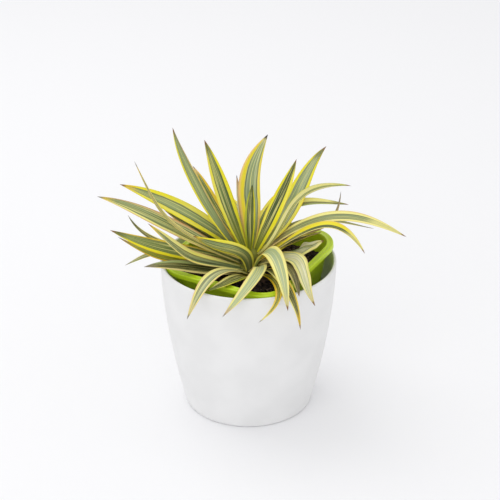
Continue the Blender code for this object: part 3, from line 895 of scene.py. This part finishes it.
@dataclass
class GrowPot:
    """The square green nursery pot, its mix and the lean that the stem shares.

    The lip's section is a list of insets from the lip's outer face and drops below its top,
    in millimetres, from the pot's inner face over two beads to the fold's lower edge and
    back under the lip to the wall. A lump of the mix is its pace and its height, and the
    settling is how far it sinks, in millimetres too.
    """

    half_side: float = 59.3 * MM
    corner: float = 25.6 * MM
    base_half_side: float = 32.5 * MM
    base_corner: float = 10.0 * MM
    height: float = 133.8 * MM
    wall: float = 1.2 * MM
    lip_width: float = 4.9 * MM
    lip_depth: float = 6.0 * MM
    lip_section: tuple = (
        (6.08, 1.2), (5.95, 0.4), (5.5, 0.05), (5.0, 0.0), (4.5, 0.15), (4.1, 0.4),
        (2.8, 0.45), (2.2, 0.2), (1.7, 0.0), (1.1, 0.0), (0.6, 0.15), (0.3, 0.6),
        (0.16, 1.3), (0.3, 2.2), (0.12, 3.0), (0.04, 4.2), (0.25, 4.6), (0.95, 4.6),
        (1.2, 4.2), (1.35, 1.7), (1.8, 1.25), (4.4, 1.25), (4.9, 1.9))
    turn: float = -31.0
    lean_front: float = 4.7
    lean_left: float = 2.5
    base_centre: tuple = (7.0 * MM, 12.6 * MM, 7.5 * MM)
    mix_depth: float = 16.0 * MM
    mix_gap: float = 0.4 * MM
    mix_edge: float = 2.0 * MM
    mix_rings: int = 30
    lumps: tuple = ((90.0, 1.6), (420.0, 1.1))
    settling: float = 0.6
    stem_spot: tuple = (2.0 * MM, -5.0 * MM)
    stem_room: float = 12.0 * MM
    litter_room: float = 3.0 * MM
    corner_cut: tuple = (5.0 * MM, 12.0 * MM)
    corner_steps: int = 14
    side_parts: int = 8
    side_rings: int = 4
    finish: Plastic = Plastic("lime_green_plastic", (204, 230, 40), (188, 218, 30), 0.36,
                              relief=0.05 * MM)
    peat: Crumb = Crumb("dark_peat", (30, 20, 18), (58, 42, 34))
    litter: tuple = (
        Litter("peat_crumbs", peat, 1500, (0.6, 2.0), 1.6, 4),
        Litter("bark_bits", Crumb("bark_chips", (92, 66, 54), (58, 40, 34)), 240,
               (0.8, 2.4), 2.6, 9),
        Litter("pale_bits", Crumb("pale_bits", (150, 128, 112), (104, 84, 74)), 70,
               (0.5, 1.5), 2.2, 16))

    def lean(self) -> Matrix:
        """The lean of the pot, the mix and the stem."""
        front = Matrix.Rotation(math.radians(self.lean_front), 4, "X")
        return front @ Matrix.Rotation(math.radians(-self.lean_left), 4, "Y")

    def place(self) -> Matrix:
        """Place of the pot in the frame."""
        turn = Matrix.Rotation(math.radians(self.turn), 4, "Z")
        return Matrix.Translation(self.base_centre) @ self.lean() @ turn

    def outline(self, half_side: float, corner: float) -> list:
        """Square with round corners.

        Args:
            half_side: Half of its side.
            corner: Its corners' radius.

        Returns:
            (x, y) points, anticlockwise from +X.
        """
        points = []
        centre = half_side - corner
        for quarter in range(4):
            here = Matrix.Rotation(quarter * math.pi / 2, 2)
            after = Matrix.Rotation((quarter + 1) * math.pi / 2, 2)
            for step in range(self.corner_steps + 1):
                angle = math.pi / 2 * step / self.corner_steps
                points.append(here @ Vector((centre + corner * math.cos(angle),
                                             centre + corner * math.sin(angle))))
            end = points[-1]
            for part in range(1, self.side_parts):
                points.append(end.lerp(after @ Vector((half_side, centre)),
                                       part / self.side_parts))
        return points

    def ring(self, form: bmesh.types.BMesh, height: float, size: tuple) -> list:
        """Adds vertices round the outline of a size at a height."""
        return [form.verts.new((x, y, height)) for x, y in self.outline(*size)]

    def size_at(self, height: float, inset: float = 0.0) -> tuple:
        """Size of the body at a height.

        Args:
            height: The height over the pot's underside.
            inset: How far inside the body's outer face.

        Returns:
            Half of the side and the corners' radius.
        """
        share = height / (self.height - self.wall)
        half, corner = ((low + (top - self.lip_width - low) * share - inset)
                        for low, top in ((self.base_half_side, self.half_side),
                                         (self.base_corner, self.corner)))
        return half, corner

    def build_shell(self, effects: Effects) -> None:
        """Builds the thin pot with its folded, double-beaded lip.

        Args:
            effects: The shared node groups.
        """
        form = bmesh.new()
        below_lip = self.height - self.lip_depth
        steps = range(self.side_rings + 1)
        inner = [self.wall + (below_lip - self.wall) * step / self.side_rings
                 for step in steps]
        outer = [below_lip * step / self.side_rings for step in reversed(steps)]
        rings = [self.ring(form, height, self.size_at(height, self.wall)) for height in inner]
        for inset, drop in self.lip_section:
            size = (self.half_side - inset * MM, self.corner - inset * MM)
            rings.append(self.ring(form, self.height - drop * MM, size))
        rings += [self.ring(form, height, self.size_at(height)) for height in outer]
        self.finish_form("grow_pot_shell", form, rings, self.finish.material(effects),
                         "grow_pot")

    def lump(self, spot: Vector) -> float:
        """How far the mix rises over its level at a spot."""
        rise = sum(noise.noise(spot * pace) * height for pace, height in self.lumps)
        return (rise - self.settling) * MM

    def build_mix(self, effects: Effects) -> None:
        """Builds the uneven block of potting mix.

        Args:
            effects: The shared node groups.
        """
        form = bmesh.new()
        inset = self.wall + self.mix_gap
        level = self.height - self.mix_depth
        rings = [self.ring(form, height, self.size_at(height, inset))
                 for height in (inset, level / 2, level - self.mix_edge)]
        edge = self.outline(*self.size_at(level, inset))
        for step in range(self.mix_rings):
            share = 1.0 - step / self.mix_rings
            spots = [Vector((x * share, y * share, 0.0)) for x, y in edge]
            rings.append([form.verts.new((spot.x, spot.y, level + self.lump(spot)))
                          for spot in spots])
        self.finish_form("peat_block", form, rings, self.peat.material(effects),
                         "potting_mix")

    def finish_form(self, name: str, form: bmesh.types.BMesh, rings: list,
                    material: bpy.types.Material, node: str) -> None:
        """Joins rings, closes both ends and stands the piece in the cover pot.

        Args:
            name: The piece's name.
            form: Its mesh.
            rings: Its rings of vertices.
            material: Its material.
            node: The node that it stands for, which has its slot's name.
        """
        join_rings(form, rings)
        form.faces.new(rings[0])
        form.faces.new(rings[-1])
        form.transform(self.place())
        add_piece(name, form, material, node)

    def scatter(self, litter: Litter, effects: Effects) -> None:
        """Lays loose bits on the mix, joined in one piece.

        Args:
            litter: The bits.
            effects: The shared node groups.
        """
        chance = random.Random(litter.seed)
        form = bmesh.new()
        level = self.height - self.mix_depth
        room = self.size_at(level, self.wall)[0] - self.litter_room
        near, far = (room - cut for cut in self.corner_cut)
        stem = self.place().inverted() @ Vector((*self.stem_spot, level))
        made = 0
        while made < litter.count:
            x = chance.uniform(-room, room)
            y = chance.uniform(-room, room)
            if max(abs(x), abs(y)) > near and min(abs(x), abs(y)) > far:
                continue
            if math.hypot(x - stem.x, y - stem.y) < self.stem_room:
                continue
            radius = chance.uniform(*litter.radii) * MM
            shape = Matrix.Diagonal((radius * chance.uniform(1.0, litter.stretch),
                                     radius * chance.uniform(*litter.width),
                                     radius * chance.uniform(*litter.height), 1.0))
            turn = Matrix.Rotation(chance.uniform(0, 2 * math.pi), 4, "Z")
            tilt = Matrix.Rotation(chance.uniform(-litter.tilt, litter.tilt), 4, "X")
            rise = radius * chance.uniform(0.0, litter.rise)
            drop = Matrix.Translation((x, y, level + rise))
            crumb = bmesh.ops.create_icosphere(form, subdivisions=1, radius=1.0)["verts"]
            for vert in crumb:
                vert.co *= chance.uniform(*litter.jag)
            bmesh.ops.transform(form, matrix=drop @ turn @ tilt @ shape, verts=crumb)
            made += 1
        form.transform(self.place())
        add_piece(litter.name, form, litter.finish.material(effects),
                  "potting_mix")

    def build(self, effects: Effects) -> None:
        """Builds the pot, the mix and the bits that lie on it.

        Args:
            effects: The shared node groups.
        """
        self.build_shell(effects)
        self.build_mix(effects)
        for litter in self.litter:
            self.scatter(litter, effects)


@dataclass
class BladeForm:
    """The mesh of a blade with its own coordinates and its map for baking.

    A strip of the map is its left edge and its width: one for the upper face, one for the
    lower face and one for each thin side.
    """

    upper: tuple = (0.01, 0.46)
    lower: tuple = (0.53, 0.44)
    sides: tuple = ((0.48, 0.012), (0.505, 0.012))
    foot_height: float = 0.025
    row_start: float = 0.04
    row_span: float = 0.95
    tip_corners: tuple = ((0.98, 0.9), (0.985, 0.99), (0.99, 0.9))
    tip_step: float = 0.004

    def __post_init__(self) -> None:
        """Starts the mesh and its layers."""
        self.form = bmesh.new()
        self.across = self.form.verts.layers.float.new("across")
        self.along = self.form.verts.layers.float.new("along")
        self.bake = self.form.loops.layers.uv.new("OFBake")
        self.spots = {}

    def vert(self, place: Vector, share: float, along: float,
             row: float) -> bmesh.types.BMVert:
        """Adds a vertex.

        Args:
            place: Its place.
            share: Its share of the blade's width.
            along: Its share of the blade's length.
            row: Its share of the map's height.

        Returns:
            The vertex.
        """
        made = self.form.verts.new(place)
        made[self.across] = share
        made[self.along] = along
        self.spots[made] = (share, self.row_start + self.row_span * row)
        return made

    def face(self, corners: tuple, strip: tuple) -> None:
        """Adds a face that lies in a strip of the map as it lies on the blade.

        Args:
            corners: Its vertices.
            strip: The strip.
        """
        for loop in self.form.faces.new(corners).loops:
            share, height = self.spots[loop.vert]
            loop[self.bake].uv = (strip[0] + strip[1] * share, height)

    def side_face(self, corners: tuple, strip: tuple) -> None:
        """Adds a face of a thin side.

        Args:
            corners: Its vertices, the first two on the strip's left edge.
            strip: The strip.
        """
        for loop in self.form.faces.new(corners).loops:
            side = 0.0 if loop.vert in corners[:2] else strip[1]
            loop[self.bake].uv = (strip[0] + side, self.spots[loop.vert][1])

    def foot_face(self, corners: tuple) -> None:
        """Adds a face of the foot's end, below the upper face's strip.

        Args:
            corners: Its vertices, the first two on the upper face.
        """
        for loop in self.form.faces.new(corners).loops:
            share = self.spots[loop.vert][0]
            height = 0.0 if loop.vert in corners[:2] else self.foot_height
            loop[self.bake].uv = (self.upper[0] + self.upper[1] * share, height)

    def skin(self, tops: list, bottoms: list, tip: bmesh.types.BMVert) -> None:
        """Closes the blade round its rows of vertices.

        Args:
            tops: Rows of vertices of the upper face, from the foot on.
            bottoms: Rows of vertices of the lower face.
            tip: The tip's vertex.
        """
        lanes = range(len(tops[0]) - 1)
        for top, next_top, low, next_low in zip(tops, tops[1:], bottoms, bottoms[1:]):
            for i in lanes:
                self.face((top[i], next_top[i], next_top[i + 1], top[i + 1]), self.upper)
                self.face((low[i], low[i + 1], next_low[i + 1], next_low[i]), self.lower)
            self.side_face((top[0], next_top[0], next_low[0], low[0]), self.sides[0])
            self.side_face((next_top[-1], top[-1], low[-1], next_low[-1]), self.sides[1])
        for i in lanes:
            self.face((tops[-1][i], tip, tops[-1][i + 1]), self.upper)
            self.face((bottoms[-1][i + 1], tip, bottoms[-1][i]), self.lower)
            self.foot_face((tops[0][i], tops[0][i + 1], bottoms[0][i + 1], bottoms[0][i]))
        for end in (0, -1):
            made = self.form.faces.new((tops[-1][end], tip, bottoms[-1][end]))
            for loop, (u, v) in zip(made.loops, self.tip_corners):
                loop[self.bake].uv = (u - self.tip_step * end, v)


@dataclass
class Yucca:
    """The stem and every blade on it.

    The pace of a blade's ripples, folds and pinches is how fast they change across and
    along it.
    """

    pot: GrowPot
    foot_radius: float = 11.0 * MM
    neck_radius: float = 9.0 * MM
    side: float = 14.0 * MM
    dome: float = 9.0 * MM
    clearance: float = 0.3 * MM
    stem_columns: int = 72
    stem_rows: int = 44
    scale_turns: int = 7
    scale_starts: int = 3
    scale_depth: float = 0.9 * MM
    scale_limit: float = 0.45 * MM
    bark_relief: float = 0.4 * MM
    bark_pace: tuple = (2.0, 0.2)
    stations: int = 46
    lanes: int = 12
    thickness_share: float = 0.0106
    least_thickness: float = 1.1 * MM
    tip_thinning: float = 0.55
    edge_thinning: float = 0.86
    edge_power: float = 2.2
    least_edge: float = 0.16
    channel_power: float = 1.4
    base_share: float = 0.42
    widest_at: float = 0.45
    taper: float = 2.0
    seat_gap: float = 0.4 * MM
    sink: float = 2.6 * MM
    wave: float = 0.35 * MM
    wave_onset: float = 4.0
    ripple_pace: tuple = (0.7, 5.0)
    fold_pace: tuple = (2.6, 3.0)
    fold_depth: float = 0.5
    fold_seed: float = 9.0
    pinch_pace: tuple = (0.5, 7.0)
    pinch_depth: float = 0.3
    pinch_seed: float = 21.0
    seed_step: float = 3.7
    # The stem's colour is partly its own olive and partly painted shade: it is darker so that
    # the gaps between the blades' feet look shaded.
    stem_tone_and_gap_shade: Crumb = Crumb("stem_tone_with_painted_gap_shade", (132, 134, 48), (78, 78, 28), 0.7, cloud=160.0,
                        relief=0.3 * MM)

    def stem_place(self) -> Matrix:
        """Place of the stem's foot, just clear of the leaning surface of the mix.

        Returns:
            The place.
        """
        lean = self.pot.lean()
        up = lean.col[2].to_3d()
        x, y = self.pot.stem_spot
        on_mix = Vector(self.pot.base_centre) + up * (self.pot.height - self.pot.mix_depth)
        slope = up.x * (x - on_mix.x) + up.y * (y - on_mix.y)
        foot = Vector((x, y, on_mix.z - slope / up.z)) + up * self.clearance
        return Matrix.Translation(foot) @ lean

    def seat_on_stem(self, travel: float) -> tuple:
        """A place on the stem's surface.

        Args:
            travel: How far up the surface from the stem's foot.

        Returns:
            Its radius, its height and the surface's steepness.
        """
        side = math.hypot(self.side, self.foot_radius - self.neck_radius)
        if travel < side:
            part = travel / side
            radius = self.foot_radius + (self.neck_radius - self.foot_radius) * part
            return radius, self.side * part, 0.0
        angle = (travel - side) / self.dome
        return (self.neck_radius * math.cos(angle), self.side + self.dome * math.sin(angle),
                math.degrees(angle))

    def stem_distance(self, point: Vector) -> float:
        """How far a point lies outside the stem's surface.

        Args:
            point: The point.

        Returns:
            The distance, below zero inside the stem.
        """
        local = self.stem_place().inverted() @ point
        radius = math.hypot(local.x, local.y)
        if local.z > self.side:
            return math.hypot(radius, local.z - self.side) - self.dome
        part = local.z / self.side
        return radius - self.foot_radius - (self.neck_radius - self.foot_radius) * part

    def blade_share(self, along: float) -> float:
        """Width of a blade as a share of its widest.

        Args:
            along: The share of its length.

        Returns:
            The share.
        """
        if along < self.widest_at:
            swell = math.sin(math.pi / 2 * along / self.widest_at)
            return self.base_share + (1.0 - self.base_share) * swell
        part = (along - self.widest_at) / (1.0 - self.widest_at)
        return 1.0 - part ** self.taper

    def midline(self, leaf: Leaf, gap: float) -> list:
        """Control points of a leaf's midline.

        Args:
            leaf: The leaf.
            gap: How far its foot stands off the stem.

        Returns:
            The four points.
        """
        stem = self.stem_place()
        radius, height, slope = self.seat_on_stem(leaf.seat * MM)
        foot = Vector((radius * math.cos(math.radians(leaf.root)),
                       radius * math.sin(math.radians(leaf.root)), height))
        start = stem @ (foot + heading_vector(leaf.root, slope) * gap)
        axis = stem @ Vector((0.0, 0.0, self.side))
        tip = Vector((axis.x, axis.y, 0.0)) + heading_vector(leaf.heading) * leaf.reach * MM
        tip.z = leaf.height * MM
        chord = (tip - start).length
        rise = heading_vector(leaf.root + leaf.veer, leaf.rise)
        dive = heading_vector(leaf.heading + leaf.turn, leaf.dive)
        return [start, start + rise * chord * leaf.pull[0],
                tip - dive * chord * leaf.pull[1], tip]

    def stations_at_gap(self, leaf: Leaf, gap: float) -> list:
        """Stations along a leaf.

        Args:
            leaf: The leaf.
            gap: How far its foot stands off the stem.

        Returns:
            (point, side, upper face's normal, share of the length) of each.
        """
        control = self.midline(leaf, gap)
        last = self.stations - 1
        points = [bezier(control, i / last) for i in range(self.stations)]
        lengths = [0.0]
        for a, b in zip(points, points[1:]):
            lengths.append(lengths[-1] + (b - a).length)
        start = math.radians(leaf.root + leaf.veer)
        side = Vector((-math.sin(start), math.cos(start), 0.0))
        stations = []
        for i, point in enumerate(points):
            ahead = points[min(i + 1, last)] - points[max(i - 1, 0)]
            ahead.normalize()
            side = (side - ahead * side.dot(ahead)).normalized()
            along = lengths[i] / lengths[-1]
            roll = Matrix.Rotation(math.radians(leaf.roll + leaf.twist * along), 3, ahead)
            across = roll @ side
            stations.append((point, across, ahead.cross(across), along))
        return stations

    def thickness(self, stations: list) -> float:
        """Thickness of a blade, from its length along the midline."""
        length = sum((b[0] - a[0]).length for a, b in zip(stations, stations[1:]))
        return max(self.least_thickness, self.thickness_share * length)

    def leaf_stations(self, leaf: Leaf) -> list:
        """Stations of a leaf whose foot just clears the stem at its nearest corner.

        Args:
            leaf: The leaf.

        Returns:
            The stations.
        """
        stations = self.stations_at_gap(leaf, 0.0)
        point, across, upper, along = stations[0]
        half = 0.5 * leaf.width * MM * self.blade_share(along)
        skin = 0.5 * self.thickness(stations)
        nearest = min(
            self.stem_distance(point + across * half * side
                               + upper * (half * leaf.channel * abs(side) + skin * face))
            for side in (-1, 0, 1) for face in (-1, 1))
        return self.stations_at_gap(leaf, self.seat_gap - nearest)

    @staticmethod
    def unevenness(pace: tuple, s: float, along: float, seed: float, shift: float) -> float:
        """Noise at a place on a blade, at a pace across and along it."""
        return noise.noise(Vector((s * pace[0], along * pace[1], seed + shift)))

    def section(self, leaf: Leaf, station: tuple, thickness: float, seed: float) -> tuple:
        """Points across a blade at one station.

        Args:
            leaf: The leaf.
            station: Its point, side, upper normal and share of the length.
            thickness: Its greatest thickness.
            seed: Number that sets its own waves.

        Returns:
            The upper face's points and the lower face's, from low side to high.
        """
        point, across, upper, along = station
        half = 0.5 * leaf.width * MM * self.blade_share(along)
        skin = 0.5 * thickness * (1.0 - self.tip_thinning * along)
        calm = min(1.0, along * self.wave_onset)
        top = []
        bottom = []
        for lane in range(self.lanes + 1):
            s = 2.0 * lane / self.lanes - 1.0
            far = abs(s)
            ripple = noise.noise(Vector((along * self.ripple_pace[1],
                                         s * self.ripple_pace[0] + seed, seed)))
            fold = self.unevenness(self.fold_pace, s, along, seed, self.fold_seed)
            pinch = self.unevenness(self.pinch_pace, s, along, seed, self.pinch_seed)
            lift = (half * leaf.channel * far ** self.channel_power
                    + ripple * self.wave * far * calm
                    + fold * leaf.crumple * self.fold_depth * half)
            wide = half * s * (1.0 + self.pinch_depth * leaf.crumple * pinch)
            middle = point + across * wide + upper * lift
            rise = upper * (skin * max(self.least_edge,
                                       1.0 - self.edge_thinning * far ** self.edge_power))
            top.append(middle + rise)
            bottom.append(middle - rise)
        return top, bottom

    def blade_form(self, leaf: Leaf, seed: float) -> bmesh.types.BMesh:
        """Closed channelled blade.

        Args:
            leaf: The leaf.
            seed: Number that sets its own waves.

        Returns:
            The mesh.
        """
        stations = self.leaf_stations(leaf)
        thickness = self.thickness(stations)
        ahead = (stations[1][0] - stations[0][0]).normalized()
        point, across, upper, _ = stations[0]
        *stations, end = [(point - ahead * self.sink, across, upper, 0.0)] + stations
        blade = BladeForm()
        tops = []
        bottoms = []
        for i, station in enumerate(stations):
            faces = self.section(leaf, station, thickness, seed)
            for rows, points in zip((tops, bottoms), faces):
                rows.append([blade.vert(p, lane / self.lanes, station[3], i / len(stations))
                             for lane, p in enumerate(points)])
        blade.skin(tops, bottoms, blade.vert(end[0], 0.5, 1.0, 1.0))
        return blade.form

    def build_stem(self, effects: Effects) -> None:
        """Builds the stem wrapped in the scars and stubs of old leaf bases.

        Args:
            effects: The shared node groups.
        """
        form = bmesh.new()
        way = math.hypot(self.side, self.foot_radius - self.neck_radius)
        whole = way + self.dome * math.pi / 2
        rings = []
        for i in range(self.stem_rows):
            radius, height, slope = self.seat_on_stem(whole * i / self.stem_rows)
            ring = []
            for j in range(self.stem_columns):
                turn = 2 * math.pi * j / self.stem_columns
                wind = (self.scale_turns * i / self.stem_rows
                        + j * self.scale_starts / self.stem_columns)
                bump = (wind % 1.0 - 0.5) * self.scale_depth * math.cos(math.radians(slope))
                bump += self.bark_relief * noise.noise(
                    Vector((math.cos(turn) * self.bark_pace[0],
                            math.sin(turn) * self.bark_pace[0], i * self.bark_pace[1])))
                wide = radius + min(bump, self.scale_limit)
                ring.append(form.verts.new((wide * math.cos(turn), wide * math.sin(turn),
                                            height)))
            rings.append(ring)
        join_rings(form, rings)
        close_ring(form, rings[-1], (0.0, 0.0, self.side + self.dome))
        form.faces.new(rings[0])
        form.transform(self.stem_place())
        add_piece("stem_sheath", form, self.stem_tone_and_gap_shade.material(effects), "stem")

    def build(self, effects: Effects) -> None:
        """Builds the stem and one blade for each leaf node.

        Args:
            effects: The shared node groups.
        """
        self.build_stem(effects)
        for number, leaf in enumerate(LEAVES, start=1):
            seed = number * self.seed_step
            name = f"blade_{number:02d}"
            add_piece(name, self.blade_form(leaf, seed),
                      leaf.dress.material(name, seed, effects), f"leaf_{number:02d}")


@dataclass(frozen=True)
class SoftBox:
    """A square soft light: its place, its side and its power in watts."""

    name: str
    place: tuple
    side: float
    power: float

    def build(self, target: tuple) -> None:
        """Hangs the light, facing the target.

        Args:
            target: The point that it faces.
        """
        data = bpy.data.lights.new(self.name, "AREA")
        data.size = self.side
        data.energy = self.power
        lamp = bpy.data.objects.new(self.name, data)
        lamp.location = self.place
        aim = Vector(target) - Vector(self.place)
        lamp.rotation_euler = aim.to_track_quat("-Z", "Y").to_euler()
        bpy.context.scene.collection.objects.link(lamp)


@dataclass
class Studio:
    """The pale floor, the white world with two soft lights, and the camera."""

    target: tuple = (1.28 * MM, 0.0, 142.5 * MM)
    distance: float = 1.19
    elevation: float = 26.2
    focal_px: float = 1400.0
    image_px: float = 500.0
    sensor_mm: float = 36.0
    floor_half: float = 6.0
    floor_colour: tuple = (246, 246, 248)
    floor_roughness: float = 0.9
    floor_specular: float = 0.1
    world_strength: float = 0.84
    lights: tuple = (SoftBox("key_softbox", (-0.7, 0.6, 1.8), 1.5, 7.6),
                     SoftBox("front_softbox", (-0.6, -1.5, 1.3), 1.6, 5.6))

    def build_camera(self) -> None:
        """Places the camera at the photograph's view."""
        tilt = math.radians(self.elevation)
        data = bpy.data.cameras.new("view")
        data.sensor_width = self.sensor_mm
        data.lens = self.focal_px / self.image_px * self.sensor_mm
        camera = bpy.data.objects.new("view", data)
        camera.location = Vector(self.target) + self.distance * Vector(
            (0.0, -math.cos(tilt), math.sin(tilt)))
        camera.rotation_euler = (math.pi / 2 - tilt, 0.0, 0.0)
        bpy.context.scene.collection.objects.link(camera)
        bpy.context.scene.camera = camera

    def build_floor(self) -> None:
        """Lays the floor."""
        form = bmesh.new()
        bmesh.ops.create_grid(form, x_segments=1, y_segments=1, size=self.floor_half)
        mesh = bpy.data.meshes.new("studio_floor")
        form.to_mesh(mesh)
        form.free()
        floor = bpy.data.objects.new("studio_floor", mesh)
        bpy.context.scene.collection.objects.link(floor)
        material, _, shader = start_material("studio_paper")
        shader.inputs["Base Color"].default_value = linear(self.floor_colour)
        shader.inputs["Roughness"].default_value = self.floor_roughness
        shader.inputs["Specular IOR Level"].default_value = self.floor_specular
        mesh.materials.append(material)

    def build_light(self) -> None:
        """Sets the world and hangs the lights."""
        world = bpy.data.worlds.new("studio_world")
        world.use_nodes = True
        backdrop = world.node_tree.nodes["Background"]
        backdrop.inputs["Color"].default_value = (1.0, 1.0, 1.0, 1.0)
        backdrop.inputs["Strength"].default_value = self.world_strength
        bpy.context.scene.world = world
        for light in self.lights:
            light.build(self.target)
        bpy.context.scene.view_settings.view_transform = "Standard"

    def build(self) -> None:
        """Builds the floor, the lights and the camera."""
        self.build_camera()
        self.build_floor()
        self.build_light()


def main() -> None:
    """Builds the studio, the pots and the plant in order."""
    logging.basicConfig(level=logging.INFO, format="%(message)s")
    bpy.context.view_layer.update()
    effects = Effects()
    Studio().build()
    CoverPot().build(effects)
    pot = GrowPot()
    pot.build(effects)
    Yucca(pot).build(effects)


if __name__ == "__main__":
    main()
